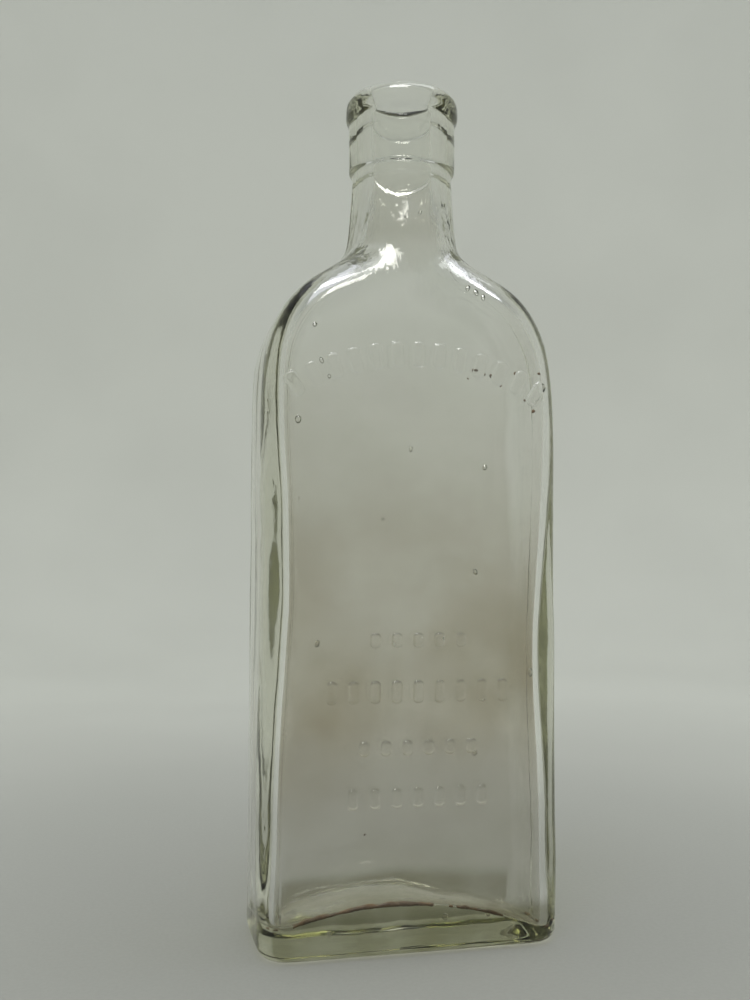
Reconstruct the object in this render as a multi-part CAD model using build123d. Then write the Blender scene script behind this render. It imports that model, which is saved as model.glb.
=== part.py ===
from build123d import *
import math
import os

# A flat rectangular medicine bottle of clear pressed glass, with a round cork neck.
# Frame: millimetres, +Z up, origin at the centre of the underside, marked front towards -Y.

# ---- outside -----------------------------------------------------------------------------
HEIGHT = 210.0  # underside to the top of the lip
BODY_WIDTH = 73.4  # side to side
BODY_DEPTH = 33.4  # front to back
EDGE_RADIUS = 7.0  # the upright corners, and the edges of the shoulders
HEEL_RADIUS = 3.2  # between the walls and the underside
PUNT_DEPTH = 0.8  # how far the middle of the underside is raised off the bearing rim
PUNT_TAPER = 40.0  # degrees, its sloping edge
PUNT_EDGE_RADIUS = 5.0
RIM_WIDTH = 4.6  # the bearing rim, from the outer face inwards
APEX = 174.0  # the arch of the shoulders, closed inside the neck
LEAN_APEX = 177.0  # the same for the front and back

# Points of the shoulders: inset from the side wall, height, and how much lower the point comes
# for each millimetre that the shape is set in from the outside.
SHOULDER_ARCH = (
    (0.0, 126.0, 0.0),
    (1.5, 143.8, 0.2),
    (7.6, 155.3, 0.7),
    (15.4, 162.4, 0.9),
    (22.9, 168.0, 1.0),
)
FACE_LEAN = ((0.0, 154.0), (1.2, 163.5), (4.4, 172.0))  # inset from the front or back, height

NECK_RADIUS = 12.7  # thinnest part, just under the collar
NECK_MIDDLE = 179.0
NECK_MIDDLE_RADIUS = 13.2
NECK_ROOT = 160.0
NECK_FOOT_RADIUS = 14.2
NECK_BLEND = 2.2  # fillet between the neck and the shoulders
COLLAR_RADIUS = 13.6
COLLAR_BOTTOM = 190.0
COLLAR_EDGE = 0.8  # rounding of its lower edge
BEAD_RADIUS = 14.4
BEAD_BOTTOM = 202.6
BEAD_SLOPE = 1.4  # height of the sloping step from the collar to the bead
LIP_RADIUS = 3.0  # rounded outer edge of the lip

# ---- inside ------------------------------------------------------------------------------
BORE_RADIUS = 7.4  # the cork seat
BORE_LENGTH = 24.0  # straight part, from the top of the lip
MOUTH_ROUNDING = 0.7
THROAT_RADIUS = 10.2  # where the neck opens into the shoulders
THROAT_FOOT = 164.0
WALL_SIDE = 3.4
WALL_FACE = 3.0
INNER_EDGE = 4.5  # upright corners of the chamber
FLOOR_MIDDLE = 12.4  # thickness of the base under the top of the domed floor
FLOOR_SPHERE = 85.0
FLOOR_SHIFT = -5.0  # the dome's top lies left of the middle

# ---- raised marks on the front: an arch of studs over four rows of bars -------------------
RELIEF = 0.4  # height above the glass
RELIEF_ROOT = 0.6  # how deep each mark starts inside the wall
ARCH_STUDS = 13
ARCH_RADIUS = 58.0
ARCH_TOP = 141.0
ARCH_SPREAD = 62.0  # degrees, first stud to last
STUD = (3.0, 6.2)  # across, along
BAR_ROWS = ((73.0, 5, 3.6), (61.0, 9, 5.4), (48.0, 6, 3.6), (36.5, 7, 4.6))  # height, count, bar height
BAR_WIDTH = 2.6
BAR_PITCH = 5.2

# ---- dried residue in the crease between floor and walls ----------------------------------
RESIDUE_WIDTH = 0.7
RESIDUE_HEIGHT = 0.7

# ---- how edges are picked ------------------------------------------------------------------
ABOVE_FOOT = 1.0  # edges higher than this are not part of the foot
OFF_MIDDLE = 0.2  # share of the half depth; nearer the middle lies only the arch's own apex
NECK_REACH = 0.9  # how far from the neck's radius its meeting with the shoulders runs

HALF_WIDTH = BODY_WIDTH / 2
HALF_DEPTH = BODY_DEPTH / 2
BORE_BOTTOM = HEIGHT - BORE_LENGTH


def arched_face(plane, points):
    """A face standing on Z = 0: upright sides to the first point, then a smooth arch to the last."""
    width, start = points[0]
    with BuildSketch(plane) as sketch:
        with BuildLine():
            Polyline((0, 0), (width, 0), (width, start))
            Spline(*points, tangents=[(0, 1), (-1, 0)])
            mirror(about=Plane.YZ)
        make_face()
    return sketch.sketch


def tombstone(side, face, edge):
    """A slab with an arched top and rounded edges; side and face are insets from the outside."""
    width = HALF_WIDTH - side
    depth = HALF_DEPTH - face
    arch = [(width - inset, height - side * drop) for inset, height, drop in SHOULDER_ARCH]
    arch.append((0, APEX - side))
    lean = [(depth - inset, height) for inset, height in FACE_LEAN]
    lean.append((0, LEAN_APEX))
    front_view = extrude(arched_face(Plane.XZ, arch), BODY_DEPTH, both=True)
    side_view = extrude(arched_face(Plane.YZ, lean), BODY_WIDTH, both=True)
    slab = front_view & side_view
    high = [e for e in slab.edges() if e.center().Z > ABOVE_FOOT]
    return fillet([e for e in high if abs(e.center().Y) > depth * OFF_MIDDLE], edge)


def neck():
    """Neck, collar and bead, turned about the bottle's axis, with a root inside the shoulders."""
    foot = (NECK_FOOT_RADIUS, NECK_ROOT)
    neck_top = (NECK_RADIUS, COLLAR_BOTTOM - COLLAR_EDGE)
    collar_in = (COLLAR_RADIUS - COLLAR_EDGE, COLLAR_BOTTOM)
    collar_out = (COLLAR_RADIUS, COLLAR_BOTTOM + COLLAR_EDGE)
    lip_out = (BEAD_RADIUS, HEIGHT - LIP_RADIUS)
    lip_in = (BEAD_RADIUS - LIP_RADIUS, HEIGHT)
    with BuildPart() as turned:
        with BuildSketch(Plane.XZ):
            with BuildLine():
                Line((0, NECK_ROOT), foot)
                Spline(foot, (NECK_MIDDLE_RADIUS, NECK_MIDDLE), neck_top)
                Line(neck_top, collar_in)
                RadiusArc(collar_in, collar_out, -COLLAR_EDGE)
                Polyline(
                    collar_out,
                    (COLLAR_RADIUS, BEAD_BOTTOM),
                    (BEAD_RADIUS, BEAD_BOTTOM + BEAD_SLOPE),
                    lip_out,
                )
                RadiusArc(lip_out, lip_in, -LIP_RADIUS)
                Polyline(lip_in, (0, HEIGHT), (0, NECK_ROOT))
            make_face()
        revolve(axis=Axis.Z)
    return turned.part


def on_neck(edge):
    """True for an edge that lies on the neck, at its meeting with the shoulders."""
    middle = edge @ 0.5
    reach = math.hypot(middle.X, middle.Y)
    on_height = NECK_ROOT < middle.Z < NECK_MIDDLE
    return on_height and abs(reach - NECK_FOOT_RADIUS) < NECK_REACH


def outside():
    """The whole outer shape, without any hollow."""
    body = tombstone(0, 0, EDGE_RADIUS)
    heel = body.faces().sort_by(Axis.Z)[0].edges()
    body = fillet(heel, HEEL_RADIUS) + neck()
    return fillet([e for e in body.edges() if on_neck(e)], NECK_BLEND)


def throat():
    """The bore for the cork, widening down into the shoulders."""
    mouth = BORE_RADIUS + MOUTH_ROUNDING
    with BuildPart() as turned:
        with BuildSketch(Plane.XZ):
            with BuildLine():
                Polyline((0, THROAT_FOOT), (THROAT_RADIUS, THROAT_FOOT))
                Spline(
                    (THROAT_RADIUS, THROAT_FOOT),
                    ((THROAT_RADIUS + BORE_RADIUS) / 2, (THROAT_FOOT + BORE_BOTTOM) / 2),
                    (BORE_RADIUS, BORE_BOTTOM),
                    tangents=[(-0.2, 1), (0, 1)],
                )
                Line((BORE_RADIUS, BORE_BOTTOM), (BORE_RADIUS, HEIGHT - MOUTH_ROUNDING))
                RadiusArc((BORE_RADIUS, HEIGHT - MOUTH_ROUNDING), (mouth, HEIGHT), MOUTH_ROUNDING)
                Polyline((mouth, HEIGHT), (mouth, HEIGHT + 1), (0, HEIGHT + 1), (0, THROAT_FOOT))
            make_face()
        revolve(axis=Axis.Z)
    return turned.part


def chamber():
    """The space for the liquid, over a domed floor."""
    space = tombstone(WALL_SIDE, WALL_FACE, INNER_EDGE)
    return space - floor_dome(0)


def floor_dome(lift):
    """A ball whose top is the floor of the bottle, raised by lift."""
    return Pos(FLOOR_SHIFT, 0, FLOOR_MIDDLE - FLOOR_SPHERE + lift) * Sphere(FLOOR_SPHERE)


def punt():
    """The shallow recess inside the bearing rim."""
    inset = 2 * RIM_WIDTH
    return extrude(
        RectangleRounded(BODY_WIDTH - inset, BODY_DEPTH - inset, PUNT_EDGE_RADIUS),
        PUNT_DEPTH,
        taper=PUNT_TAPER,
    )


def raised_marks():
    """Plain studs in an arch and four rows of bars, each with a root inside the front wall."""
    thick = RELIEF + RELIEF_ROOT
    front = -HALF_DEPTH - RELIEF + thick / 2
    marks = []
    for i in range(ARCH_STUDS):
        turn = ARCH_SPREAD * (i / (ARCH_STUDS - 1) - 0.5)
        place = Pos(0, front, ARCH_TOP - ARCH_RADIUS) * Rot(0, turn, 0) * Pos(0, 0, ARCH_RADIUS)
        marks.append(place * Box(STUD[0], thick, STUD[1]))
    for height, count, tall in BAR_ROWS:
        for i in range(count):
            across = BAR_PITCH * (i - (count - 1) / 2)
            marks.append(Pos(across, front, height) * Box(BAR_WIDTH, thick, tall))
    return marks


def glass_bottle():
    """The moulded bottle."""
    glass = outside() - chamber() - throat() - punt()
    return glass + raised_marks()


def dried_residue():
    """A thin line of dried syrup in the crease between the floor and the walls."""
    width = BODY_WIDTH - 2 * (WALL_SIDE + RESIDUE_WIDTH)
    depth = BODY_DEPTH - 2 * (WALL_FACE + RESIDUE_WIDTH)
    core = extrude(RectangleRounded(width, depth, INNER_EDGE - RESIDUE_WIDTH), HEIGHT)
    return (chamber() & floor_dome(RESIDUE_HEIGHT)) - core


def main():
    """Write each piece to its own file."""
    os.makedirs("parts", exist_ok=True)
    export_step(glass_bottle(), "parts/glass_bottle.step")
    export_step(dried_residue(), "parts/dried_residue.step")


main()
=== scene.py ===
"""A flat glass medicine bottle, blown in a mould, with syrup dried in the crease of its floor.

The bottle is one closed skin: a ring of points is pulled up the outside, over the lip and down the
inside. Lengths in the tables are millimetres in the bottle's own frame, turned into metres by MM.
"""

import math

import bmesh
import bpy
from mathutils import Matrix, Vector, noise


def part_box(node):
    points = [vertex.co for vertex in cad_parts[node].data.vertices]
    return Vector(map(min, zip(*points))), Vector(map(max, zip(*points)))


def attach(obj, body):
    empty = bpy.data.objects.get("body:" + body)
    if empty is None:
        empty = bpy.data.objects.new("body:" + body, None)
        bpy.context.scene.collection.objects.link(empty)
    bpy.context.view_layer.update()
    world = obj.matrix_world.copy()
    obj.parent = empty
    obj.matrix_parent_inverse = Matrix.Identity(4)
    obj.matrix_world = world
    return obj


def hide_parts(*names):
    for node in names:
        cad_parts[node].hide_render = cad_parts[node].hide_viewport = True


bl_info = {
    "name": "Medicine Bottle",
    "version": (1, 0, 0),
    "blender": (4, 5, 0),
    "location": "3D View > Sidebar > Bottle",
    "description": "Builds a clear glass medicine bottle, its dried residue and a soft studio",
    "category": "Object",
}

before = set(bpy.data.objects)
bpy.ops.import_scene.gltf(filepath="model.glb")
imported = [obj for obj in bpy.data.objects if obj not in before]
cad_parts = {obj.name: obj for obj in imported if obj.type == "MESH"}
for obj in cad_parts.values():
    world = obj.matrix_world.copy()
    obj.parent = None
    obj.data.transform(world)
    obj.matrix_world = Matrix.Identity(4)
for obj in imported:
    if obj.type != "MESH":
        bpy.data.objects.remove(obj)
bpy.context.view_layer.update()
GLASS_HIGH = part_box("glass_bottle")[1]
MM = 0.001

# ---- the bottle's outline, from the underside up -----------------------------------------------
HALF_WIDTH = GLASS_HIGH.x / MM
HALF_DEPTH = GLASS_HIGH.y / MM
FRONT_SEGMENTS = 4  # from a corner to the middle of the front
CORNER_SEGMENTS = 4
SIDE_SEGMENTS = 3  # from the mould seam to a corner
QUARTER = FRONT_SEGMENTS + CORNER_SEGMENTS + SIDE_SEGMENTS
GRID_SPAN = 2 * (FRONT_SEGMENTS + CORNER_SEGMENTS // 2)  # columns of the grids that close the ends
SEAM_HALF = 0.45  # half the width of the mould seam
SEAM_RISE = 0.13
SEAM_START = (3, 6)  # heights where it rises out of the foot
SEAM_END = (184, 187)  # and where it fades under the collar
SEAM_ANGLE = math.radians(1.9)  # its half width on the round neck

# Half width and half depth at each height, for the outer and the inner wall.
OUTER_X = (
    (0, HALF_WIDTH), (124, HALF_WIDTH), (131.5, 36.6), (137.8, 36.25), (143.5, 35.3),
    (148.7, 33.6), (152.4, 31.6), (155.5, 29.4), (159.3, 25.7), (162.5, 21.7), (165.1, 18.1),
    (168, 15.1), (171.7, 13.95), (177, 13.44), (183, 12.95), (189, 12.66),
)
OUTER_Y = (
    (0, HALF_DEPTH), (152, HALF_DEPTH), (156, 16.6), (159, 16.4), (162, 16.05), (165, 15.55),
    (168, 14.9), (171.7, 14.0), (177, 13.44), (183, 12.95), (189, 12.66),
)
INNER_X = (
    (0, 33.2), (124, 33.3), (131.5, 33.2), (137.8, 32.8), (143.5, 31.9), (148.7, 30.0),
    (152.4, 27.9), (155.5, 25.2), (159.3, 20.9), (162.5, 16.5), (165.1, 13.3), (168, 11.2),
    (171.5, 10.2), (176, 9.3), (180, 8.4), (184, 7.75), (188, 7.42),
)
INNER_Y = (
    (0, 13.6), (150, 13.7), (156, 13.5), (160, 13.0), (163, 12.3), (166, 11.5), (168.5, 10.8),
    (171.5, 10.2), (176, 9.3), (180, 8.4), (184, 7.75), (188, 7.42),
)
OUTER_ROUND = (157, 170)  # heights over which the flat body turns into the round neck
INNER_ROUND = (155, 169)
OUTER_EDGE = 7.0  # radius of the upright corners
INNER_EDGE = 4.2
LEAST_OUTER_EDGE = 1.5
LEAST_INNER_EDGE = 1.2
EDGE_SHRINK = 0.8  # how much smaller that radius gets for each millimetre of inset

# Height and inset of the rings round the foot, from the raised middle of the underside outwards.
FOOT = (
    (0.8, 5.9), (0.4, 4.9), (0.03, 4.0), (0.0, 3.2),
    (0.24, 1.98), (0.94, 0.94), (1.98, 0.24), (3.2, 0.0),
)
FOOT_MIDDLE = FOOT[0][0]
UNDERSIDE_TOP = 1.2  # all of the underside lies lower, and all of the floor inside higher
OUTER_LEVELS = (
    5.5, 11, 24, 44, 66, 88, 108, 120, 128, 134, 139.5, 144, 148, 151.5, 154.4, 157, 159.4,
    161.6, 163.6, 165.4, 167.1, 168.9, 171, 173.8, 177.5, 182, 186.2, 188.3,
)
# Height and radius of the collar, the bead, the lip and the bore.
FINISH = (
    (189.1, 12.68), (189.6, 12.8), (189.9, 13.05), (190.15, 13.35), (190.7, 13.55), (191.8, 13.6),
    (196, 13.6), (200.8, 13.6), (202.3, 13.63), (203.0, 13.85), (203.6, 14.18), (204.4, 14.38),
    (205.5, 14.42), (206.9, 14.36), (208.1, 14.05), (209.1, 13.35), (209.7, 12.4), (209.97, 11.2),
    (210, 9.9), (209.97, 8.8), (209.7, 8.05), (209.1, 7.6), (208, 7.42), (203, 7.4), (197, 7.4),
    (191.5, 7.4),
)
INNER_LEVELS = (
    188, 184.5, 181, 177.5, 174, 171, 168.4, 166, 163.7, 161.4, 159, 156.4, 153.6, 150.6, 147.2,
    143, 138, 132, 125, 112, 96, 80, 64, 48, 32, 21,
)
# Height above the domed floor and inset of the rings in the crease.
CREASE = ((4.2, 0.0), (1.9, 0.02), (0.7, 0.3), (0.12, 1.0), (0.0, 2.3))
CREASE_LEVEL = 8  # the height whose inner wall the crease and the syrup follow

# Swellings of the inner wall: side (+1 right, -1 left), height, half length and depth.
SWELLINGS = (
    (1, 71.0, 25.0, 1.9), (1, 122.0, 34.0, -1.0),
    (-1, 88.0, 55.0, 1.6), (-1, 84.0, 22.0, 0.6), (-1, 50.0, 14.0, -0.5),
)
SWELLING_REACH = (0.45, 1.0)  # share of the half width over which a swelling builds up

# ---- how uneven the two skins are --------------------------------------------------------------
BLOWN_WAVE = 0.024  # metres
BLOWN_FINE_WAVE = 0.011
BLOWN_FINE_SHARE = 0.12  # how strong the finer wave is beside the other
MOULDED_WAVE = 0.016
BLOWN_END = (162, 176)  # heights where the inner wall gets even
# The moulded skin starts with FOOT_WEIGHT and is full at MOULDED_START's end; the neck has less.
FOOT_WEIGHT = 0.25
MOULDED_START = (0.5, 8)
NECK_LOSS = 0.6
NECK_START = (158, 172)

# ---- raised marks on the front -----------------------------------------------------------------
ARCH_STUDS = 13
ARCH_RADIUS = 58.0
ARCH_TOP = 141.0
ARCH_SPREAD = math.radians(62)
STUD = (3.0, 6.2)  # across, along
BAR_ROWS = ((73.0, 5, 3.6), (61.0, 9, 5.4), (48.0, 6, 3.6), (36.5, 7, 4.6))  # height, count, length
BAR_WIDTH = 2.6
BAR_PITCH = 5.2
MARK_ROOT = 0.7  # thickness of the part inside the wall
MARK_SINK = 0.3  # how deep its middle lies
MARK_CORNER = 0.40  # radius of its corners, as a share of its width
MARK_STEPS = ((0.07, 0.50), (0.10, 0.33), (0.14, 0.17))  # shares of its width in and its height up

# ---- seeds in the glass: across, depth, height, radius and how long they are drawn out ----------
SEEDS = (
    (-28.9, -15.2, 124.5, 0.75, 1.3), (-25.1, -15.1, 147.1, 0.55, 1.1),
    (-23.5, -15.2, 138.6, 0.5, 1.6), (-21.6, -15.2, 134.9, 0.45, 1.2),
    (12.7, -14.9, 158.0, 0.5, 1.5), (14.8, -14.9, 157.1, 0.6, 1.4),
    (16.6, -14.9, 156.0, 0.5, 1.5), (16.9, -15.2, 114.3, 0.55, 1.3),
    (14.4, -15.2, 89.1, 0.55, 1.4), (28.4, -15.2, 64.8, 0.6, 1.7),
    (-34.9, -2.0, 90.5, 0.5, 1.4), (-8.5, -15.3, 101.5, 0.3, 1.2),
    (6.2, 15.2, 121.0, 0.5, 1.5), (-18.0, 15.2, 70.0, 0.6, 1.6),
    (24.0, 15.1, 41.0, 0.45, 1.3), (-26.0, 15.2, 108.0, 0.4, 1.2),
    (-20.0, -9.0, 5.2, 0.6, 1.0), (9.0, -4.0, 6.1, 0.8, 1.0), (22.0, 6.0, 3.9, 0.5, 1.0),
    (1.5, -11.1, 177.0, 0.35, 1.8), (-2.0, -11.0, 175.6, 0.3, 1.6),
)
SEED_FLATNESS = 0.7
SEED_LEAN = 0.5  # radians, the furthest that one leans

# ---- where each finish of the glass starts and ends --------------------------------------------
FACE_WALL = (14.7, 15.4)  # depth, from the inner face of the front and the back into the glass
SIDE_WALL = (32.2, 33.8)  # width, the same at the sides
# The film in the body is partly a dull film inside and partly painted shade that darkens the view
# through the glass.
FILM_AND_SHADE_END = (125, 165)  # heights where the film in the body ends
FILM_AND_SHADE_FADE = (45, 150)  # it gets thinner from the first to the second
FILM_AND_SHADE_FLOOR = (10, 50)  # and is thinner again near the floor
THROAT_WALL = (10.2, 11.4)  # radius, from the inner face of the neck into the glass
THROAT_START = (166, 174)
THROAT_FADE = (176, 200)
FOOT_END = (8.5, 12.5)
MARK_TOPS = (16.92, 17.02)  # depth of the rubbed tops of the raised marks
THICK_SWIRL = (8, 16)  # the swirls are stronger below the first
NECK_CREASE_START = (150, 168)
NECK_CREASE_END = (176, 192)
GLASS_IOR = 1.52
POLISH = 0.012  # roughness of the cleanest glass
RUBBED = 0.05  # roughness that fine scratches add
MARK_WEAR = 0.22  # roughness that wear adds on the marks
SHADOW_TONE = (0.93, 0.93, 0.90)  # light that a shadow lets through

# ---- dried syrup -------------------------------------------------------------------------------
CREASE_STEPS = 288
CREASE_GAP = 0.27  # no syrup where the line would be weaker than this
CREASE_FRONT_LEFT = 1.5 * math.pi - 0.35  # direction from +X in which it is strongest
CREASE_FRONT_REACH = 0.75  # radians to each side
CREASE_GAIN = 1.6
CREASE_RANGE = (0.25, 1.25)  # least and greatest thickness
CREASE_SIZE = 0.85  # millimetres for each unit of thickness
CREASE_INSET = 0.25
CREASE_LIFT = 0.12
# Across the line: how far it stands in from the wall and over the floor, per unit of thickness.
CREASE_LOOPS = (
    (0.0, 0.9), (0.35, 1.0), (0.95, 0.35), (1.3, -0.15), (0.5, -0.35), (-0.15, -0.05),
)
CRUST_WAVE = 0.0012  # metres
CRUST_DEPTH = 0.35
RESIDUE_SEED = 7.3
# Across, height and radius of the flakes.
FLAKES = (
    (14.9, 138.1, 0.6), (17.0, 137.3, 0.4), (19.0, 136.9, 0.55), (25.5, 137.7, 0.4),
    (31.2, 138.0, 0.35), (29.8, 128.6, 0.5), (12.9, 136.0, 0.25), (21.4, 134.6, 0.3),
    (27.6, 131.2, 0.3), (-12.4, 28.1, 0.25),
)
FLAKE_DEPTH = -13.62  # on the inner face of the front wall
FLAKE_SHAPE = (1.0, 0.35, 0.8)

# ---- the stage, in metres ----------------------------------------------------------------------
GLASS_BOUNCES = 24  # light runs along inside the thick corners before it comes out
COVE_SIDES = 64
COVE_MIDDLE = 0.35
COVE = (
    (0.50, 0.0), (0.62, 0.006), (0.72, 0.03), (0.80, 0.085),
    (0.86, 0.18), (0.89, 0.32), (0.90, 0.6), (0.90, 1.3),
)
# A painted shadow pool: the floor is painted darker round the bottle.
PAINTED_SHADOW_TONE = 0.40  # how dark the floor is close to the bottle, as a share of its colour
PAINTED_SHADOW_REACH = (-0.06, 0.58)
LIGHT_TARGET = (0, 0, 0.14)
KEY_PLACE = (-0.14, -0.34, 0.86)
KEY_SIZE = (0.38, 0.26)
KEY_TONE = (1.0, 0.99, 0.96)
TOP_PLACE = (0.08, -0.16, 0.95)
TOP_SIZE = (0.95, 0.30)
TOP_TONE = (0.95, 0.98, 1.0)
SKY_TONE = (0.93, 0.96, 1.0)


class BottleShape(bpy.types.PropertyGroup):
    """Sizes of the glass that a user would change."""

    floor_rise: bpy.props.FloatProperty(
        name="Floor rise", description="Height of the domed floor's top",
        default=12.4 * MM, unit="LENGTH",
    )
    floor_sphere: bpy.props.FloatProperty(
        name="Floor sphere", description="Radius of the domed floor",
        default=85 * MM, unit="LENGTH",
    )
    floor_shift: bpy.props.FloatProperty(
        name="Floor shift", description="Sideways place of the dome's top",
        default=-5 * MM, unit="LENGTH",
    )
    floor_fall: bpy.props.FloatProperty(
        name="Floor fall", description="How far the floor falls towards the back, for its depth",
        default=0.075,
    )
    ripple_inside: bpy.props.FloatProperty(
        name="Inner ripple", description="How uneven the blown inner wall is",
        default=0.55 * MM, unit="LENGTH",
    )
    ripple_outside: bpy.props.FloatProperty(
        name="Outer ripple", description="How uneven the moulded skin is",
        default=0.10 * MM, unit="LENGTH",
    )
    relief: bpy.props.FloatProperty(
        name="Relief", description="Height of the raised marks",
        default=0.4 * MM, unit="LENGTH",
    )


class BottleFinish(bpy.types.PropertyGroup):
    """Colours and wear of the glass and the residue."""

    tint: bpy.props.FloatVectorProperty(
        name="Glass tint", description="Colour that thick glass takes", subtype="COLOR",
        size=3, min=0, max=1, default=(0.50, 0.508, 0.26),
    )
    density: bpy.props.FloatProperty(
        name="Tint strength", description="How fast the colour builds up", default=16.0, min=0
    )
    haze: bpy.props.FloatProperty(
        name="Haze", description="Roughness that the thickest film adds",
        default=0.08, min=0, max=1,
    )
    # Partly painted shade: in the body this colour darkens the view through the glass.
    film_and_shade: bpy.props.FloatVectorProperty(
        name="Inner film", description="Colour that the dull film inside gives", subtype="COLOR",
        size=3, min=0, max=1, default=(0.37, 0.31, 0.19),
    )
    # Partly painted shade: besides the thick glass's colour, this tint darkens the base.
    foot: bpy.props.FloatVectorProperty(
        name="Foot tint", description="Colour of the thick glass of the base", subtype="COLOR",
        size=3, min=0, max=1, default=(0.36, 0.355, 0.245),
    )
    residue: bpy.props.FloatVectorProperty(
        name="Residue", description="Colour of the dried syrup", subtype="COLOR",
        size=3, min=0, max=1, default=(0.05, 0.025, 0.011),
    )


class BottleStage(bpy.types.PropertyGroup):
    """The floor, the light and the camera."""

    floor_tone: bpy.props.FloatVectorProperty(
        name="Floor", description="Colour of the floor and the cove", subtype="COLOR",
        size=3, min=0, max=1, default=(0.635, 0.645, 0.60),
    )
    key_power: bpy.props.FloatProperty(
        name="Key light", description="Power of the soft light above",
        default=3.2, min=0, unit="POWER",
    )
    top_power: bpy.props.FloatProperty(
        name="Top light", description="Power of the wide light overhead",
        default=2.2, min=0, unit="POWER",
    )
    sky: bpy.props.FloatProperty(
        name="Sky", description="Strength of the even light from all round", default=0.80, min=0
    )
    camera_place: bpy.props.FloatVectorProperty(
        name="Camera", description="Place of the camera", subtype="TRANSLATION", size=3,
        default=(-0.0709, -0.2670, 0.0910),
    )
    camera_turn: bpy.props.FloatVectorProperty(
        name="Camera turn", description="Yaw, pitch and roll of the camera", subtype="EULER",
        size=3, default=(math.radians(13.53), math.radians(3.31), math.radians(-0.22)),
    )
    lens: bpy.props.FloatProperty(
        name="Lens", description="Focal length on a 36 mm sensor", default=39.5, min=1
    )


# ---- small helpers -----------------------------------------------------------------------------
def leave_edit():
    """Back to object mode with nothing selected."""
    if bpy.context.object is not None and bpy.context.object.mode != "OBJECT":
        bpy.ops.object.mode_set(mode="OBJECT")
    bpy.ops.object.select_all(action="DESELECT")


def make_active(piece):
    """Select one object alone and make it the active one."""
    leave_edit()
    piece.select_set(True)
    bpy.context.view_layer.objects.active = piece


def named(piece, name):
    """Give an object and its mesh one name."""
    piece.name = name
    piece.data.name = name
    return piece


def apply_modifiers(piece):
    """Apply all modifiers of a piece in order."""
    make_active(piece)
    for modifier in list(piece.modifiers):
        bpy.ops.object.modifier_apply(modifier=modifier.name)


def settle(piece):
    """Put a finished piece's place, turn and scale into its mesh."""
    make_active(piece)
    bpy.ops.object.transform_apply(location=True, rotation=True, scale=True)


def delete(pieces):
    """Delete some objects."""
    leave_edit()
    for piece in pieces:
        piece.select_set(True)
    bpy.ops.object.delete()


def join(pieces, name):
    """Join several meshes into the first of them."""
    leave_edit()
    for piece in pieces:
        piece.select_set(True)
    bpy.context.view_layer.objects.active = pieces[0]
    bpy.ops.object.join()
    return named(pieces[0], name)


def pick(piece, kind, test):
    """Select only the edges or faces of a piece in edit mode that pass a test."""
    bpy.ops.mesh.select_mode(type="EDGE" if kind == "edges" else "FACE")
    bpy.ops.mesh.select_all(action="DESELECT")
    mesh = bmesh.from_edit_mesh(piece.data)
    for item in getattr(mesh, kind):
        if test(item):
            item.select_set(True)
    bmesh.update_edit_mesh(piece.data)


def runs_deep(edge):
    """True for an edge that runs from front to back."""
    run = edge.verts[0].co - edge.verts[1].co
    return abs(run.y) > abs(run.x) + abs(run.z)


def face_outwards():
    """Turn all faces of the mesh in edit mode outwards."""
    bpy.ops.mesh.select_all(action="SELECT")
    bpy.ops.mesh.normals_make_consistent(inside=False)


def refine(piece, levels):
    """A Subdivision Surface modifier."""
    finer = piece.modifiers.new("finer", "SUBSURF")
    finer.levels = levels
    finer.render_levels = levels


def ripple(piece, name, size, strength, group=""):
    """A modifier that makes a piece uneven, or only one vertex group of it."""
    cloud = bpy.data.textures.new(name, "CLOUDS")
    cloud.noise_scale = size
    wave = piece.modifiers.new(name, "DISPLACE")
    wave.texture = cloud
    wave.texture_coords = "LOCAL"
    wave.vertex_group = group
    wave.strength = strength
    return cloud


def smooth(span, value):
    """0 below a span, 1 above it, and an even S between."""
    low, high = span
    t = min(1.0, max(0.0, (value - low) / (high - low)))
    return t * t * (3 - 2 * t)


def along(table, height):
    """A smooth curve through a table of (height, value), and its slope there."""
    if height <= table[0][0]:
        return table[0][1], 0.0
    if height >= table[-1][0]:
        return table[-1][1], 0.0
    i = max(k for k in range(len(table) - 1) if table[k][0] <= height)
    slopes = [
        (table[min(k + 1, len(table) - 1)][1] - table[max(k - 1, 0)][1])
        / (table[min(k + 1, len(table) - 1)][0] - table[max(k - 1, 0)][0])
        for k in (i, i + 1)
    ]
    (z0, v0), (z1, v1) = table[i], table[i + 1]
    step = z1 - z0
    if v0 == v1:
        return v0, 0.0
    if i > 0 and table[i - 1][1] == v0:
        slopes[0] = 0.0
    t = (height - z0) / step
    value = (
        (2 * t**3 - 3 * t**2 + 1) * v0
        + (t**3 - 2 * t**2 + t) * step * slopes[0]
        + (3 * t**2 - 2 * t**3) * v1
        + (t**3 - t**2) * step * slopes[1]
    )
    return value, slopes[0] + (slopes[1] - slopes[0]) * t


# ---- rings of the glass, in millimetres --------------------------------------------------------
def quarter_points(half_x, half_y, edge_x, edge_y, roundness):
    """Points from the middle of a side to the middle of the front."""
    flat_x = half_x - edge_x
    flat_y = half_y - edge_y
    seam = min(SEAM_HALF, flat_y / 3)
    square = [(half_x, 0.0), (half_x, seam)]
    for k in range(1, SIDE_SEGMENTS):
        square.append((half_x, seam + (flat_y - seam) * k / (SIDE_SEGMENTS - 1)))
    for k in range(1, CORNER_SEGMENTS + 1):
        turn = k / CORNER_SEGMENTS * math.pi / 2
        square.append((flat_x + edge_x * math.cos(turn), flat_y + edge_y * math.sin(turn)))
    for k in range(1, FRONT_SEGMENTS + 1):
        square.append((flat_x * (1 - k / FRONT_SEGMENTS), half_y))
    step = (math.pi / 2 - SEAM_ANGLE) / (QUARTER - 1)
    turns = [0.0] + [SEAM_ANGLE + step * k for k in range(QUARTER)]
    circle = [(half_x * math.cos(t), half_y * math.sin(t)) for t in turns]
    return [
        (a[0] + (b[0] - a[0]) * roundness, a[1] + (b[1] - a[1]) * roundness)
        for a, b in zip(square, circle)
    ]


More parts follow.
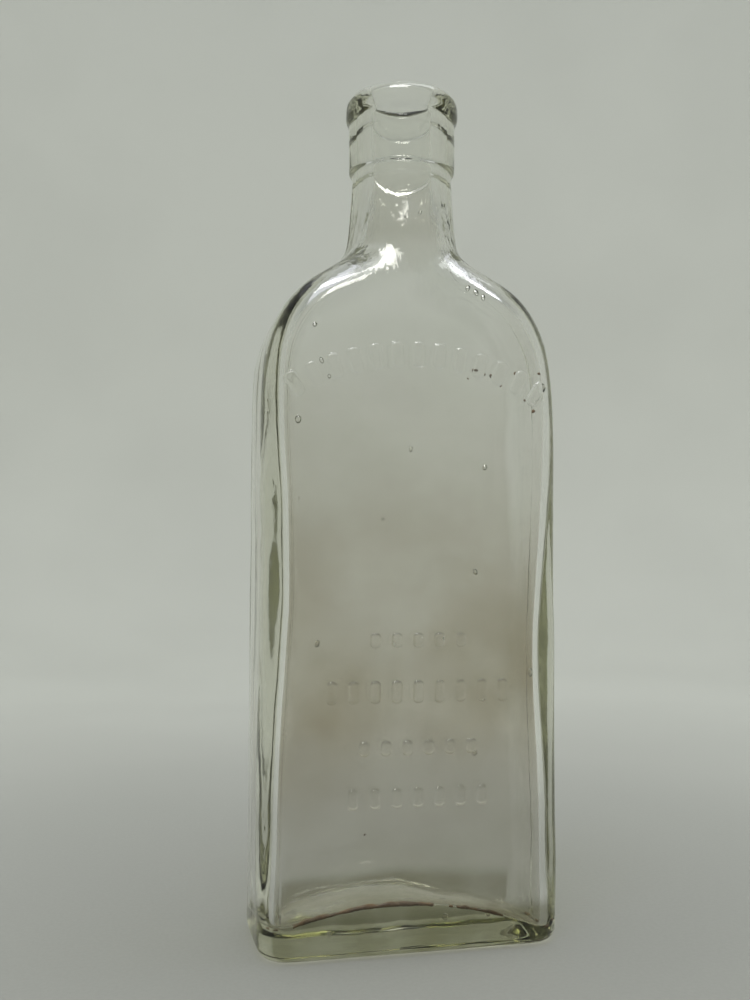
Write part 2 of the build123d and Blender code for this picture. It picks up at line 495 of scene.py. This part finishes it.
def ring_points(half_x, half_y, edge_x, edge_y, roundness):
    """A whole ring, counter-clockwise from the middle of the right side."""
    quarter = quarter_points(half_x, half_y, edge_x, edge_y, roundness)
    ring = [(x, y) for x, y in quarter[:-1]]
    ring += [(-x, y) for x, y in reversed(quarter[1:])]
    ring += [(-x, -y) for x, y in quarter[:-1]]
    ring += [(x, -y) for x, y in reversed(quarter[1:])]
    return ring


def wall_ring(across, deep, height, inset, edge, roundness):
    """A ring at a height, from the tables of its half width and half depth."""
    half_x, slope = along(across, height)
    half_y, _ = along(deep, height)
    half_x -= inset
    half_y -= inset
    edge_x = min(edge * math.hypot(1, slope), half_x - 1)
    return ring_points(half_x, half_y, edge_x, min(edge, half_y - 1), roundness)


def outer_ring(height, inset=0.0):
    """The outer wall at a height, with its mould seams."""
    edge = max(LEAST_OUTER_EDGE, OUTER_EDGE - EDGE_SHRINK * inset)
    ring = wall_ring(OUTER_X, OUTER_Y, height, inset, edge, smooth(OUTER_ROUND, height))
    rise = SEAM_RISE * smooth(SEAM_START, height) * (1 - smooth(SEAM_END, height))
    return [(x + math.copysign(rise, x) if y == 0 else x, y) for x, y in ring]


def swelling(side, height):
    """How far the inner wall stands in at one side."""
    total = 0.0
    for at, middle, half, depth in SWELLINGS:
        if at == side:
            total += depth * math.exp(-(((height - middle) / half) ** 2))
    return total


def inner_ring(height, inset=0.0):
    """The inner wall at a height, with its swellings."""
    edge = max(LEAST_INNER_EDGE, INNER_EDGE - EDGE_SHRINK * inset)
    ring = wall_ring(INNER_X, INNER_Y, height, inset, edge, smooth(INNER_ROUND, height))
    half_x, _ = along(INNER_X, height)
    shaped = []
    for x, y in ring:
        side = 1 if x > 0 else -1
        share = smooth(SWELLING_REACH, abs(x) / half_x)
        shaped.append((x - side * swelling(side, height) * share, y))
    return shaped


def floor_height(x, y):
    """The domed floor, which falls to the back."""
    shape = bpy.context.scene.bottle_shape
    reach = (x - shape.floor_shift / MM) ** 2 + y**2
    dome = shape.floor_rise / MM - reach / (2 * shape.floor_sphere / MM)
    return dome - shape.floor_fall * (y + HALF_DEPTH)


def level(ring, height):
    """A ring at one height."""
    return [(x, y, height) for x, y in ring]


def over_floor(ring, rise):
    """A ring that follows the domed floor."""
    return [(x, y, floor_height(x, y) + rise) for x, y in ring]


def bottle_rings():
    """All rings of the skin in order, from the underside, over the lip, to the floor."""
    rings = [level(outer_ring(0, inset), height) for height, inset in FOOT]
    rings += [level(outer_ring(height), height) for height in OUTER_LEVELS]
    rings += [level(ring_points(r, r, r - 0.1, r - 0.1, 1.0), height) for height, r in FINISH]
    rings += [level(inner_ring(height), height) for height in INNER_LEVELS]
    rings += [over_floor(inner_ring(CREASE_LEVEL, inset), rise) for rise, inset in CREASE]
    return rings


# ---- the glass ---------------------------------------------------------------------------------
def place_selected(piece, ring, number):
    """Move the selected loop's points to a ring; each point knows its column and its ring."""
    mesh = bmesh.from_edit_mesh(piece.data)
    column = mesh.verts.layers.int["column"]
    order = mesh.verts.layers.int["ring"]
    for vert in mesh.verts:
        if vert.select:
            x, y, z = ring[vert[column]]
            vert.co = (x * MM, y * MM, z * MM)
            vert[order] = number
    bmesh.update_edit_mesh(piece.data)


def pull_rings(name, rings):
    """Pull one loop of points from ring to ring, and stay in edit mode."""
    leave_edit()
    bpy.ops.mesh.primitive_circle_add(
        vertices=len(rings[0]), radius=HALF_DEPTH * MM, fill_type="NOTHING"
    )
    piece = named(bpy.context.object, name)
    bpy.ops.object.mode_set(mode="EDIT")
    bpy.ops.mesh.select_mode(type="VERT")
    bpy.ops.mesh.select_all(action="SELECT")
    mesh = bmesh.from_edit_mesh(piece.data)
    mesh.verts.layers.int.new("ring")
    column = mesh.verts.layers.int.new("column")
    mesh.verts.ensure_lookup_table()
    for i, vert in enumerate(mesh.verts):
        vert[column] = i
    place_selected(piece, rings[0], 0)
    for number, ring in enumerate(rings[1:], 1):
        bpy.ops.mesh.extrude_region_move()
        place_selected(piece, ring, number)
    return piece


def close_end(piece, at_end, height_at):
    """Fill an open end with a grid of faces and set its new points' heights."""
    bpy.ops.mesh.select_all(action="DESELECT")
    mesh = bmesh.from_edit_mesh(piece.data)
    for edge in mesh.edges:
        if edge.is_boundary and at_end(edge.verts[0].co.z):
            edge.select_set(True)
    rim = {v.index for v in mesh.verts if v.select}
    bmesh.update_edit_mesh(piece.data)
    bpy.ops.mesh.fill_grid(span=GRID_SPAN)
    mesh = bmesh.from_edit_mesh(piece.data)
    for vert in mesh.verts:
        if vert.select and vert.index not in rim:
            vert.co.z = height_at(vert.co.x / MM, vert.co.y / MM) * MM
    bmesh.update_edit_mesh(piece.data)


def pull_skin():
    """Pull one ring up the outside, over the lip and down the inside, then close both ends."""
    piece = pull_rings("glass_bottle_skin", bottle_rings())
    close_end(piece, lambda z: z < UNDERSIDE_TOP * MM, lambda x, y: FOOT_MIDDLE)
    close_end(piece, lambda z: z > UNDERSIDE_TOP * MM, floor_height)
    face_outwards()
    bpy.ops.object.mode_set(mode="OBJECT")
    return piece


def mark_walls(piece):
    """Vertex groups for the blown inner wall and the moulded outer skin."""
    inner_start = len(FOOT) + len(OUTER_LEVELS) + len(FINISH)
    order = piece.data.attributes["ring"].data
    inside = piece.vertex_groups.new(name="inside")
    outside = piece.vertex_groups.new(name="outside")
    for vert in piece.data.vertices:
        height = vert.co.z / MM
        number = order[vert.index].value
        if number >= inner_start or (number == 0 and height > UNDERSIDE_TOP):
            inside.add([vert.index], 1 - smooth(BLOWN_END, height), "REPLACE")
        else:
            weight = FOOT_WEIGHT + (1 - FOOT_WEIGHT) * smooth(MOULDED_START, height)
            weight -= NECK_LOSS * smooth(NECK_START, height)
            outside.add([vert.index], max(0.0, weight), "REPLACE")


def soft_mark(width, tall):
    """One raised mark with a soft top, and a root inside the front wall."""
    relief = bpy.context.scene.bottle_shape.relief
    leave_edit()
    bpy.ops.mesh.primitive_cube_add(size=MM)
    mark = named(bpy.context.object, "raised_mark")
    bpy.ops.object.mode_set(mode="EDIT")
    bpy.ops.mesh.select_all(action="SELECT")
    bpy.ops.transform.resize(value=(width, MARK_ROOT, tall))
    pick(mark, "edges", runs_deep)
    bpy.ops.mesh.bevel(offset=MARK_CORNER * width * MM, segments=3)
    pick(mark, "faces", lambda face: face.normal.y < -0.9)
    for share, rise in MARK_STEPS:
        bpy.ops.mesh.inset(thickness=share * width * MM, depth=rise * relief)
    bpy.ops.object.mode_set(mode="OBJECT")
    mark.location = (0, -(HALF_DEPTH - MARK_SINK) * MM, 0)
    settle(mark)
    return mark


def place_mark(mark, turn, across, height):
    """A copy of a mark, with its own mesh, turned in the front's plane and put in its place."""
    make_active(mark)
    bpy.ops.object.duplicate(linked=False)
    copy = bpy.context.object
    copy.rotation_euler = (0, turn, 0)
    copy.location = (across * MM, 0, height * MM)
    settle(copy)
    return copy


def raised_marks():
    """An arch of studs over four rows of bars."""
    marks = []
    stud = soft_mark(*STUD)
    spare = [stud]
    for i in range(ARCH_STUDS):
        turn = ARCH_SPREAD * (i / (ARCH_STUDS - 1) - 0.5)
        height = ARCH_TOP - ARCH_RADIUS * (1 - math.cos(turn))
        marks.append(place_mark(stud, turn, ARCH_RADIUS * math.sin(turn), height))
    for height, count, tall in BAR_ROWS:
        bar = soft_mark(BAR_WIDTH, tall)
        spare.append(bar)
        for i in range(count):
            marks.append(place_mark(bar, 0.0, BAR_PITCH * (i - (count - 1) / 2), height))
    delete(spare)
    return join(marks, "raised_marks")


def seeds():
    """Small bubbles trapped in the glass: their skins face the air inside them."""
    bubbles = []
    for i, (x, y, z, radius, drawn) in enumerate(SEEDS):
        leave_edit()
        bpy.ops.mesh.primitive_ico_sphere_add(subdivisions=3, radius=radius * MM)
        bubble = bpy.context.object
        bpy.ops.object.mode_set(mode="EDIT")
        bpy.ops.mesh.select_all(action="SELECT")
        bpy.ops.transform.resize(value=(1, SEED_FLATNESS, drawn))
        bpy.ops.mesh.flip_normals()
        bpy.ops.object.mode_set(mode="OBJECT")
        bubble.rotation_euler = (0, SEED_LEAN * math.sin(2.1 * i), 0)
        bubble.location = (x * MM, y * MM, z * MM)
        settle(bubble)
        bubbles.append(bubble)
    return join(bubbles, "seeds")


class BOTTLE_OT_glass(bpy.types.Operator):
    """Build the glass bottle"""

    bl_idname = "bottle.glass"
    bl_label = "Glass bottle"

    def execute(self, context):
        shape = context.scene.bottle_shape
        piece = pull_skin()
        mark_walls(piece)
        refine(piece, 2)
        for name, size, strength, group in (
            ("blown_wall", BLOWN_WAVE, shape.ripple_inside, "inside"),
            ("blown_wall_fine", BLOWN_FINE_WAVE, BLOWN_FINE_SHARE * shape.ripple_inside, "inside"),
            ("moulded_skin", MOULDED_WAVE, shape.ripple_outside, "outside"),
        ):
            ripple(piece, name, size, strength, group).noise_depth = 1
        apply_modifiers(piece)
        marks = raised_marks()
        union = piece.modifiers.new("marks", "BOOLEAN")
        union.operation = "UNION"
        union.solver = "EXACT"
        union.object = marks
        apply_modifiers(piece)
        delete([marks])
        piece = join([piece, seeds()], "glass_bottle_body")
        make_active(piece)
        bpy.ops.object.shade_smooth()
        even = piece.modifiers.new("even_shading", "WEIGHTED_NORMAL")
        even.mode = "FACE_AREA"
        even.weight = 50
        apply_modifiers(piece)
        piece.data.materials.append(glass_material())
        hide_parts("glass_bottle")
        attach(piece, "root")
        return {"FINISHED"}


# ---- finishes ----------------------------------------------------------------------------------
def uneven_group():
    """A cloudy mask with its own size and edges, and a height that goes with it."""
    if "uneven" in bpy.data.node_groups:
        return bpy.data.node_groups["uneven"]
    group = bpy.data.node_groups.new("uneven", "ShaderNodeTree")
    group.interface.new_socket("Vector", in_out="INPUT", socket_type="NodeSocketVector")
    for name, value in (("Scale", 60.0), ("Detail", 3.0), ("Low", 0.4), ("High", 0.6)):
        socket = group.interface.new_socket(name, in_out="INPUT", socket_type="NodeSocketFloat")
        socket.default_value = value
    for name in ("Mask", "Height"):
        group.interface.new_socket(name, in_out="OUTPUT", socket_type="NodeSocketFloat")
    inputs = group.nodes.new("NodeGroupInput")
    outputs = group.nodes.new("NodeGroupOutput")
    cloud = group.nodes.new("ShaderNodeTexNoise")
    edges = group.nodes.new("ShaderNodeMapRange")
    edges.interpolation_type = "SMOOTHSTEP"
    for name in ("Vector", "Scale", "Detail"):
        group.links.new(inputs.outputs[name], cloud.inputs[name])
    group.links.new(cloud.outputs["Fac"], edges.inputs["Value"])
    group.links.new(inputs.outputs["Low"], edges.inputs["From Min"])
    group.links.new(inputs.outputs["High"], edges.inputs["From Max"])
    group.links.new(edges.outputs["Result"], outputs.inputs["Mask"])
    group.links.new(cloud.outputs["Fac"], outputs.inputs["Height"])
    return group


class Finish:
    """A material under construction: short calls for its nodes and links."""

    def __init__(self, name):
        self.material = bpy.data.materials.new(name)
        self.material.use_nodes = True
        self.nodes = self.material.node_tree.nodes
        self.shader = self.nodes["Principled BSDF"]
        self.out = self.nodes["Material Output"]
        self.place = self.nodes.new("ShaderNodeTexCoord").outputs["Object"]

    def join(self, source, target):
        """Link two sockets."""
        self.material.node_tree.links.new(source, target)

    def uneven(self, scale, detail, low, high, vector=None):
        """A copy of the shared cloudy mask."""
        node = self.nodes.new("ShaderNodeGroup")
        node.node_tree = uneven_group()
        self.join(vector or self.place, node.inputs["Vector"])
        for name, value in (("Scale", scale), ("Detail", detail), ("Low", low), ("High", high)):
            node.inputs[name].default_value = value
        return node.outputs

    def spread(self, value, low, high, start=0.0, end=1.0):
        """Turn one range of values into another, with soft ends."""
        node = self.nodes.new("ShaderNodeMapRange")
        node.interpolation_type = "SMOOTHSTEP"
        self.join(value, node.inputs["Value"])
        ends = (("From Min", low), ("From Max", high), ("To Min", start), ("To Max", end))
        for name, number in ends:
            node.inputs[name].default_value = number
        return node.outputs["Result"]

    def fade(self, length, span, start=0.0, end=1.0):
        """The same for a length and a span in millimetres."""
        return self.spread(length, span[0] * MM, span[1] * MM, start, end)

    def maths(self, operation, first, second=0.0):
        """One Math node; the second value may be a number."""
        node = self.nodes.new("ShaderNodeMath")
        node.operation = operation
        self.join(first, node.inputs[0])
        if isinstance(second, (int, float)):
            node.inputs[1].default_value = second
        else:
            self.join(second, node.inputs[1])
        return node.outputs["Value"]

    def times(self, first, *others):
        """The product of some values."""
        for other in others:
            first = self.maths("MULTIPLY", first, other)
        return first

    def plus(self, first, *others):
        """The sum of some values."""
        for other in others:
            first = self.maths("ADD", first, other)
        return first

    def length(self, vector):
        """The length of a vector."""
        node = self.nodes.new("ShaderNodeVectorMath")
        node.operation = "LENGTH"
        self.join(vector, node.inputs[0])
        return node.outputs["Value"]

    def scaled(self, factors):
        """Object coordinates, stretched or flattened along each axis."""
        node = self.nodes.new("ShaderNodeMapping")
        node.inputs["Scale"].default_value = factors
        self.join(self.place, node.inputs["Vector"])
        return node.outputs["Vector"]

    def blend(self, mask, first, second):
        """Mix two colours; either may be a socket."""
        node = self.nodes.new("ShaderNodeMix")
        node.data_type = "RGBA"
        self.join(mask, node.inputs["Factor"])
        for value, name in ((first, 6), (second, 7)):
            if isinstance(value, tuple):
                node.inputs[name].default_value = (*value, 1)
            else:
                self.join(value, node.inputs[name])
        return node.outputs[2]

    def bump(self, height, strength, distance, under=None):
        """A Bump node, on top of another one if given."""
        node = self.nodes.new("ShaderNodeBump")
        node.inputs["Strength"].default_value = strength
        node.inputs["Distance"].default_value = distance
        self.join(height, node.inputs["Height"])
        if under is not None:
            self.join(under, node.inputs["Normal"])
        return node.outputs["Normal"]


def inner_film_and_shade(glass, across, depth, height):
    """The mask of the dull film, which in the body is also painted shade: in the body, thinner
    upwards, and again in the neck.
    """
    radius = glass.length(glass.scaled((1, 1, 0)))
    body = glass.times(
        glass.fade(depth, FACE_WALL, 1.0, 0.0),
        glass.fade(across, SIDE_WALL, 1.0, 0.0),
        glass.fade(height, FILM_AND_SHADE_END, 1.0, 0.0),
        glass.fade(height, FILM_AND_SHADE_FADE, 1.0, 0.28),
        glass.fade(height, FILM_AND_SHADE_FLOOR, 0.40, 1.0),
    )
    throat = glass.times(
        glass.fade(radius, THROAT_WALL, 1.0, 0.0),
        glass.fade(height, THROAT_START),
        glass.fade(height, THROAT_FADE, 0.42, 0.0),
    )
    patches = glass.uneven(34, 3, 0.22, 0.78)["Mask"]
    streaks = glass.uneven(9, 5, 0.35, 0.65)["Mask"]
    return glass.times(
        glass.maths("MAXIMUM", body, throat),
        glass.spread(patches, 0, 1, 0.62, 1.0),
        glass.spread(streaks, 0, 1, 0.8, 1.0),
    )


def glass_bumps(glass, height):
    """Swirls, stronger in the thick base, drawn creases in the neck, and a fine orange peel."""
    swirl = glass.uneven(95, 1, 0, 1)["Height"]
    creases = glass.uneven(330, 3, 0, 1, glass.scaled((1, 1, 0.22)))["Height"]
    orange_peel = glass.uneven(420, 2, 0, 1)["Height"]
    swirl = glass.times(swirl, glass.fade(height, THICK_SWIRL, 3.2, 1.0))
    creases = glass.times(
        creases,
        glass.fade(height, NECK_CREASE_START),
        glass.fade(height, NECK_CREASE_END, 1.0, 0.1),
    )
    normal = glass.bump(swirl, 0.25, 0.0006)
    normal = glass.bump(creases, 0.5, 0.0005, normal)
    return glass.bump(orange_peel, 0.15, 0.00012, normal)


def glass_material():
    """Clear glass, olive where it is thick, with a dull film inside. The film in the body and the
    darker tint of the base are partly painted shade.
    """
    look = bpy.context.scene.bottle_finish
    glass = Finish("clear_glass")
    glass.shader.inputs["IOR"].default_value = GLASS_IOR
    glass.shader.inputs["Transmission Weight"].default_value = 1.0

    parts = glass.nodes.new("ShaderNodeSeparateXYZ")
    glass.join(glass.place, parts.inputs["Vector"])
    across = glass.maths("ABSOLUTE", parts.outputs["X"])
    depth = glass.maths("ABSOLUTE", parts.outputs["Y"])
    height = parts.outputs["Z"]

    # A dull film inside, and in the body painted shade that darkens the view through the glass.
    film_and_shade = inner_film_and_shade(glass, across, depth, height)
    clear = glass.blend(glass.uneven(70, 2, 0.3, 0.7)["Mask"], (0.985, 0.99, 0.98), (1, 1, 1))
    # The base's tint: the thick glass's colour and painted shade that darkens the base.
    foot = glass.times(
        glass.fade(height, FOOT_END, 1.0, 0.0),
        glass.fade(depth, FACE_WALL),
        glass.spread(glass.uneven(60, 3, 0.3, 0.7)["Mask"], 0, 1, 0.7, 1.0),
    )
    colour = glass.blend(film_and_shade, clear, tuple(look.film_and_shade))
    colour = glass.blend(foot, colour, tuple(look.foot))
    glass.join(colour, glass.shader.inputs["Base Color"])

    rough = glass.plus(
        glass.times(glass.spread(film_and_shade, 0, 1), look.haze),
        glass.times(glass.uneven(420, 2, 0.60, 0.78)["Mask"], RUBBED),
        glass.fade(depth, MARK_TOPS, 0.0, MARK_WEAR),
        POLISH,
    )
    glass.join(rough, glass.shader.inputs["Roughness"])
    glass.join(glass_bumps(glass, height), glass.shader.inputs["Normal"])

    body = glass.nodes.new("ShaderNodeVolumeAbsorption")
    body.inputs["Color"].default_value = (*look.tint, 1)
    body.inputs["Density"].default_value = look.density
    glass.join(body.outputs["Volume"], glass.out.inputs["Volume"])

    lit = glass.nodes.new("ShaderNodeBsdfTransparent")
    lit.inputs["Color"].default_value = (*SHADOW_TONE, 1)
    path = glass.nodes.new("ShaderNodeLightPath")
    mix = glass.nodes.new("ShaderNodeMixShader")
    glass.join(path.outputs["Is Shadow Ray"], mix.inputs["Fac"])
    glass.join(glass.shader.outputs["BSDF"], mix.inputs[1])
    glass.join(lit.outputs["BSDF"], mix.inputs[2])
    glass.join(mix.outputs["Shader"], glass.out.inputs["Surface"])
    return glass.material


def residue_material():
    """Syrup dried to a dark brown crust, amber where it is thin, and dusty."""
    look = bpy.context.scene.bottle_finish
    crust = Finish("dried_syrup")
    thick = crust.uneven(320, 3, 0.40, 0.62)["Mask"]
    grain = crust.uneven(2200, 3, 0.3, 0.7)
    colour = crust.blend(thick, (0.13, 0.07, 0.03), tuple(look.residue))
    colour = crust.blend(crust.times(grain["Mask"], 0.35), colour, (0.30, 0.22, 0.14))
    crust.join(colour, crust.shader.inputs["Base Color"])
    crust.join(crust.spread(thick, 0, 1, 0.7, 0.42), crust.shader.inputs["Roughness"])
    crust.join(crust.bump(grain["Height"], 0.6, 0.0002), crust.shader.inputs["Normal"])
    crust.shader.inputs["Coat Weight"].default_value = 0.15
    crust.shader.inputs["Coat Roughness"].default_value = 0.3
    return crust.material


def floor_material():
    """Plain pale paper, with a painted shadow that darkens it round the bottle."""
    tone = tuple(bpy.context.scene.bottle_stage.floor_tone)
    paper = Finish("pale_paper")
    fibre = paper.uneven(900, 4, 0.35, 0.65)
    cloud = paper.uneven(5, 2, 0.35, 0.65)["Mask"]
    # Painted shadow: the paper is darker round the bottle.
    painted_shadow = paper.spread(paper.length(paper.place), *PAINTED_SHADOW_REACH, 1.0, 0.0)
    colour = paper.blend(cloud, tuple(0.96 * c for c in tone), tone)
    colour = paper.blend(painted_shadow, colour, tuple(PAINTED_SHADOW_TONE * c for c in tone))
    paper.join(colour, paper.shader.inputs["Base Color"])
    paper.join(paper.spread(fibre["Mask"], 0, 1, 0.85, 0.95), paper.shader.inputs["Roughness"])
    paper.join(paper.bump(fibre["Height"], 0.2, 0.0003), paper.shader.inputs["Normal"])
    return paper.material


# ---- dried syrup -------------------------------------------------------------------------------
def crease_strength(x, y):
    """How strong the dried line is at a place: most at the front left, and least at the back."""
    turn = math.atan2(y, x) % (2 * math.pi)
    around = Vector((math.cos(turn), math.sin(turn), 0))
    cloud = noise.noise(around * 9 + Vector((RESIDUE_SEED, 0, 0)))
    fine = noise.noise(around * 31 + Vector((0, RESIDUE_SEED, 0)))
    front_left = math.exp(-(((turn - CREASE_FRONT_LEFT) / CREASE_FRONT_REACH) ** 2))
    back = math.sin(turn) > 0
    return 0.26 + 0.45 * front_left + 0.55 * cloud + 0.35 * fine - 0.45 * back


def crease_line():
    """Points of the crease at even steps round the inner wall, in millimetres."""
    ring = inner_ring(CREASE_LEVEL, CREASE_INSET)
    lengths = [0.0]
    for a, b in zip(ring, ring[1:] + ring[:1]):
        lengths.append(lengths[-1] + math.dist(a, b))
    points = []
    for k in range(CREASE_STEPS):
        reach = lengths[-1] * k / CREASE_STEPS
        i = max(j for j in range(len(ring)) if lengths[j] <= reach)
        share = (reach - lengths[i]) / (lengths[i + 1] - lengths[i])
        (ax, ay), (bx, by) = ring[i], ring[(i + 1) % len(ring)]
        points.append((ax + (bx - ax) * share, ay + (by - ay) * share))
    return points


def crease_loop(points, inward, rise):
    """One loop along the line, thick or thin from place to place."""
    loop = []
    least, greatest = CREASE_RANGE
    for k, (x, y) in enumerate(points):
        (ax, ay), (bx, by) = points[k - 1], points[(k + 1) % CREASE_STEPS]
        run = math.hypot(bx - ax, by - ay)
        strength = crease_strength(x, y) * CREASE_GAIN
        thick = CREASE_SIZE * max(least, min(greatest, strength))
        inner_x = x - (by - ay) / run * inward * thick
        inner_y = y + (bx - ax) / run * inward * thick
        height = floor_height(inner_x, inner_y) + CREASE_LIFT + rise * thick
        loop.append((inner_x, inner_y, height))
    return loop


def residue_line():
    """The broken line of syrup round the floor."""
    points = crease_line()
    loops = [crease_loop(points, inward, rise) for inward, rise in CREASE_LOOPS]
    piece = pull_rings("dried_syrup_line", loops)
    pick(piece, "edges", lambda edge: edge.is_boundary)
    bpy.ops.mesh.bridge_edge_loops()
    gaps = [crease_strength(x, y) < CREASE_GAP for x, y in points]
    mesh = bmesh.from_edit_mesh(piece.data)
    column = mesh.verts.layers.int["column"]
    pick(piece, "faces", lambda face: all(gaps[vert[column]] for vert in face.verts))
    bpy.ops.mesh.delete(type="FACE")
    bpy.ops.mesh.select_all(action="SELECT")
    bpy.ops.mesh.fill_holes(sides=8)
    face_outwards()
    bpy.ops.object.mode_set(mode="OBJECT")
    refine(piece, 1)
    ripple(piece, "crust", CRUST_WAVE, CRUST_DEPTH * MM)
    apply_modifiers(piece)
    return piece


def residue_flakes():
    """Flakes of syrup on the inner face of the front wall."""
    flakes = []
    for i, (x, z, radius) in enumerate(FLAKES):
        leave_edit()
        bpy.ops.mesh.primitive_ico_sphere_add(subdivisions=3, radius=radius * MM)
        flake = bpy.context.object
        bpy.ops.object.mode_set(mode="EDIT")
        mesh = bmesh.from_edit_mesh(flake.data)
        for vert in mesh.verts:
            push = noise.noise(vert.co.normalized() * 2.2 + Vector((3.1 * i, 0, 0)))
            vert.co *= 1 + 0.6 * push
        bmesh.update_edit_mesh(flake.data)
        bpy.ops.mesh.select_all(action="SELECT")
        bpy.ops.transform.resize(value=FLAKE_SHAPE)
        bpy.ops.object.mode_set(mode="OBJECT")
        flake.rotation_euler = (0, 1.7 * i, 0)
        flake.location = (x * MM, FLAKE_DEPTH * MM, z * MM)
        settle(flake)
        flakes.append(flake)
    return join(flakes, "dried_syrup_flakes")


class BOTTLE_OT_residue(bpy.types.Operator):
    """Build the dried syrup in the floor crease and its flakes on the front wall"""

    bl_idname = "bottle.residue"
    bl_label = "Dried syrup"

    def execute(self, context):
        crust = residue_material()
        line = residue_line()
        flakes = residue_flakes()
        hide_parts("dried_residue")
        for piece in (line, flakes):
            make_active(piece)
            bpy.ops.object.shade_smooth()
            piece.data.materials.append(crust)
            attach(piece, "root")
        return {"FINISHED"}


# ---- the stage ---------------------------------------------------------------------------------
def make_cove():
    """A round floor that curves up into a plain wall all round."""
    leave_edit()
    bpy.ops.mesh.primitive_circle_add(vertices=COVE_SIDES, radius=COVE_MIDDLE, fill_type="NGON")
    cove = named(bpy.context.object, "cove")
    bpy.ops.object.mode_set(mode="EDIT")
    bpy.ops.mesh.select_all(action="SELECT")
    reach = COVE_MIDDLE
    rise = 0.0
    for radius, height in COVE:
        bpy.ops.mesh.extrude_edges_move(TRANSFORM_OT_translate={"value": (0, 0, height - rise)})
        factor = radius / reach
        bpy.ops.transform.resize(value=(factor, factor, 1), center_override=(0, 0, height))
        reach = radius
        rise = height
    bpy.ops.object.mode_set(mode="OBJECT")
    return cove


def add_light(name, place, size, power, tone):
    """One rectangular soft light, aimed at the bottle."""
    run = Vector(LIGHT_TARGET) - Vector(place)
    turn = run.to_track_quat("-Z", "Y").to_euler()
    bpy.ops.object.light_add(type="AREA", location=place, rotation=turn)
    lamp = bpy.context.object
    lamp.name = name
    lamp.data.shape = "RECTANGLE"
    lamp.data.size, lamp.data.size_y = size
    lamp.data.energy = power
    lamp.data.color = tone


def make_camera():
    """The camera, low in front of the bottle and a little to its left."""
    stage = bpy.context.scene.bottle_stage
    yaw, pitch, roll = stage.camera_turn
    flat = math.cos(pitch)
    forward = Vector((math.sin(yaw) * flat, math.cos(yaw) * flat, math.sin(pitch)))
    turn = forward.to_track_quat("-Z", "Y").to_matrix() @ Matrix.Rotation(-roll, 3, "Z")
    bpy.ops.object.camera_add(location=stage.camera_place, rotation=turn.to_euler())
    camera = bpy.context.object
    camera.data.lens = stage.lens
    camera.data.sensor_width = 36
    camera.data.clip_start = 0.01
    bpy.context.scene.camera = camera


class BOTTLE_OT_stage(bpy.types.Operator):
    """Set up the floor, the lights and the camera"""

    bl_idname = "bottle.stage"
    bl_label = "Stage"

    def execute(self, context):
        stage = context.scene.bottle_stage
        cove = make_cove()
        cove.data.materials.append(floor_material())
        make_active(cove)
        bpy.ops.object.shade_smooth()
        leave_edit()
        add_light("key", KEY_PLACE, KEY_SIZE, stage.key_power, KEY_TONE)
        add_light("top", TOP_PLACE, TOP_SIZE, stage.top_power, TOP_TONE)
        world = bpy.data.worlds.new("soft_sky")
        context.scene.world = world
        world.use_nodes = True
        background = world.node_tree.nodes["Background"]
        background.inputs["Color"].default_value = (*SKY_TONE, 1)
        background.inputs["Strength"].default_value = stage.sky
        context.scene.view_settings.view_transform = "Standard"
        for kind in ("max_bounces", "glossy_bounces", "transmission_bounces"):
            setattr(context.scene.cycles, kind, GLASS_BOUNCES)
        make_camera()
        return {"FINISHED"}


class BOTTLE_PT_panel(bpy.types.Panel):
    """Bottle tools in the sidebar"""

    bl_label = "Medicine bottle"
    bl_space_type = "VIEW_3D"
    bl_region_type = "UI"
    bl_category = "Bottle"

    def draw(self, context):
        for group in ("bottle_shape", "bottle_finish", "bottle_stage"):
            settings = getattr(context.scene, group)
            box = self.layout.box()
            for name in settings.bl_rna.properties.keys():
                if name not in ("rna_type", "name"):
                    box.prop(settings, name)
        for operator in OPERATORS:
            self.layout.operator(operator.bl_idname)


OPERATORS = (BOTTLE_OT_glass, BOTTLE_OT_residue, BOTTLE_OT_stage)
GROUPS = (BottleShape, BottleFinish, BottleStage)


def register():
    """Add the classes and the scene's settings."""
    for item in (*GROUPS, *OPERATORS, BOTTLE_PT_panel):
        bpy.utils.register_class(item)
    bpy.types.Scene.bottle_shape = bpy.props.PointerProperty(type=BottleShape)
    bpy.types.Scene.bottle_finish = bpy.props.PointerProperty(type=BottleFinish)
    bpy.types.Scene.bottle_stage = bpy.props.PointerProperty(type=BottleStage)


def unregister():
    """Remove them again."""
    del bpy.types.Scene.bottle_stage
    del bpy.types.Scene.bottle_finish
    del bpy.types.Scene.bottle_shape
    for item in reversed((*GROUPS, *OPERATORS, BOTTLE_PT_panel)):
        bpy.utils.unregister_class(item)


def main():
    """Build everything in order."""
    register()
    bpy.ops.bottle.stage()
    bpy.ops.bottle.glass()
    bpy.ops.bottle.residue()


if __name__ == "__main__":
    main()
